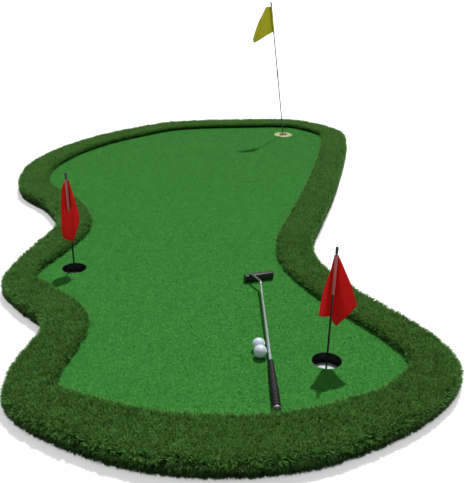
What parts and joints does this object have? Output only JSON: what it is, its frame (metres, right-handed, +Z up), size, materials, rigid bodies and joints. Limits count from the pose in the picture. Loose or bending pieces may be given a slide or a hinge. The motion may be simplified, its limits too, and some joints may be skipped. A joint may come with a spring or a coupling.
{
  "type": "practice putting mat",
  "caption": "Free-form practice putting green on foam boards, with a raised rough border, sunk cups with turning flags on lift-out flagsticks, a putter and balls.",
  "frame": {"origin": "on the floor, under the middle of the mat's bounding box", "axes": "+Z up, +Y along the mat's length from the near end with the putter to the far end with the tall flag, +X to the right"},
  "size_m": [1.8726, 3.5896, 0.863],
  "materials": {
    "eva_foam": "matte",
    "short_turf": "matte",
    "rough_turf": "matte",
    "black_plastic": "satin",
    "white_plastic": "satin",
    "cream_plastic": "matte",
    "tan_plastic": "matte",
    "black_rod": "gloss",
    "grey_rod": "satin",
    "hoist_tube": "satin",
    "red_cloth": "matte",
    "yellow_cloth": "matte",
    "black_head": "satin",
    "dark_chrome": "gloss",
    "chrome": "polished",
    "grip_rubber": "matte",
    "grey_ring": "satin",
    "ball_cover": "gloss"
  },
  "bodies": {
    "mat": {"base_near": "eva_foam", "base_waist": "eva_foam", "base_middle": "eva_foam", "base_far": "eva_foam", "putting_turf": "short_turf", "rough_near": "rough_turf", "rough_left": "rough_turf", "rough_far": "rough_turf", "rough_right_far": "rough_turf", "rough_right_near": "rough_turf"},
    "cup_left": {"cup_liner_left": "black_plastic", "cup_floor_left": "white_plastic"},
    "cup_right": {"cup_liner_right": "black_plastic", "cup_floor_right": "white_plastic"},
    "far_holder": {"far_disc": "cream_plastic", "far_boss": "tan_plastic"},
    "flagstick_left": {"pole_left": "black_rod", "pole_tip_left": "black_plastic", "flag_stop_left": "black_plastic"},
    "pennant_left": {"flag_sleeve_left": "hoist_tube", "flag_left": "red_cloth"},
    "flagstick_right": {"pole_right": "black_rod", "pole_tip_right": "black_plastic", "flag_stop_right": "black_plastic"},
    "pennant_right": {"flag_sleeve_right": "hoist_tube", "flag_right": "red_cloth"},
    "flagstick_far": {"pole_far_lower": "grey_rod", "pole_far_joint": "grey_rod", "pole_far_upper": "grey_rod", "pole_tip_far": "black_plastic", "flag_stop_far": "black_plastic"},
    "pennant_far": {"flag_sleeve_far": "hoist_tube", "flag_far": "yellow_cloth"},
    "putter": {"putter_head": "black_head", "putter_hosel": "dark_chrome", "putter_shaft": "chrome", "putter_grip": "grip_rubber", "putter_ring": "grey_ring", "putter_cap": "black_plastic"},
    "front_ball": {"ball_front": "ball_cover"},
    "back_ball": {"ball_back": "ball_cover"}
  },
  "joints": [
    {"name": "cup_left_lift", "type": "slide", "parent": "mat", "child": "cup_left", "axis": [0, 0, 1], "range_m": [0, 0.08]},
    {"name": "cup_right_lift", "type": "slide", "parent": "mat", "child": "cup_right", "axis": [0, 0, 1], "range_m": [0, 0.08]},
    {"name": "far_holder_lift", "type": "slide", "parent": "mat", "child": "far_holder", "axis": [0, 0, 1], "range_m": [0, 0.06]},
    {"name": "flagstick_left_lift", "type": "slide", "parent": "cup_left", "child": "flagstick_left", "axis": [0, 0, 1], "range_m": [0, 0.15]},
    {"name": "flagstick_right_lift", "type": "slide", "parent": "cup_right", "child": "flagstick_right", "axis": [0, 0, 1], "range_m": [0, 0.15]},
    {"name": "flagstick_far_lift", "type": "slide", "parent": "far_holder", "child": "flagstick_far", "axis": [-0.1392, 0, 0.9903], "range_m": [0, 0.15]},
    {"name": "pennant_left_turn", "type": "hinge", "parent": "flagstick_left", "child": "pennant_left", "pos_m": [-0.408, -0.655, 0.34], "axis": [0, 0, 1], "continuous": true},
    {"name": "pennant_right_turn", "type": "hinge", "parent": "flagstick_right", "child": "pennant_right", "pos_m": [0.524, -1.292, 0.34], "axis": [0, 0, 1], "continuous": true},
    {"name": "pennant_far_turn", "type": "hinge", "parent": "flagstick_far", "child": "pennant_far", "pos_m": [0.538, 1.441, 0.047], "axis": [-0.1392, 0, 0.9903], "continuous": true},
    {"name": "putter_lift", "type": "slide", "parent": "mat", "child": "putter", "axis": [0, 0, 1], "range_m": [0, 0.3]},
    {"name": "front_ball_lift", "type": "slide", "parent": "mat", "child": "front_ball", "axis": [0, 0, 1], "range_m": [0, 0.15]},
    {"name": "back_ball_lift", "type": "slide", "parent": "mat", "child": "back_ball", "axis": [0, 0, 1], "range_m": [0, 0.15]}
  ]
}
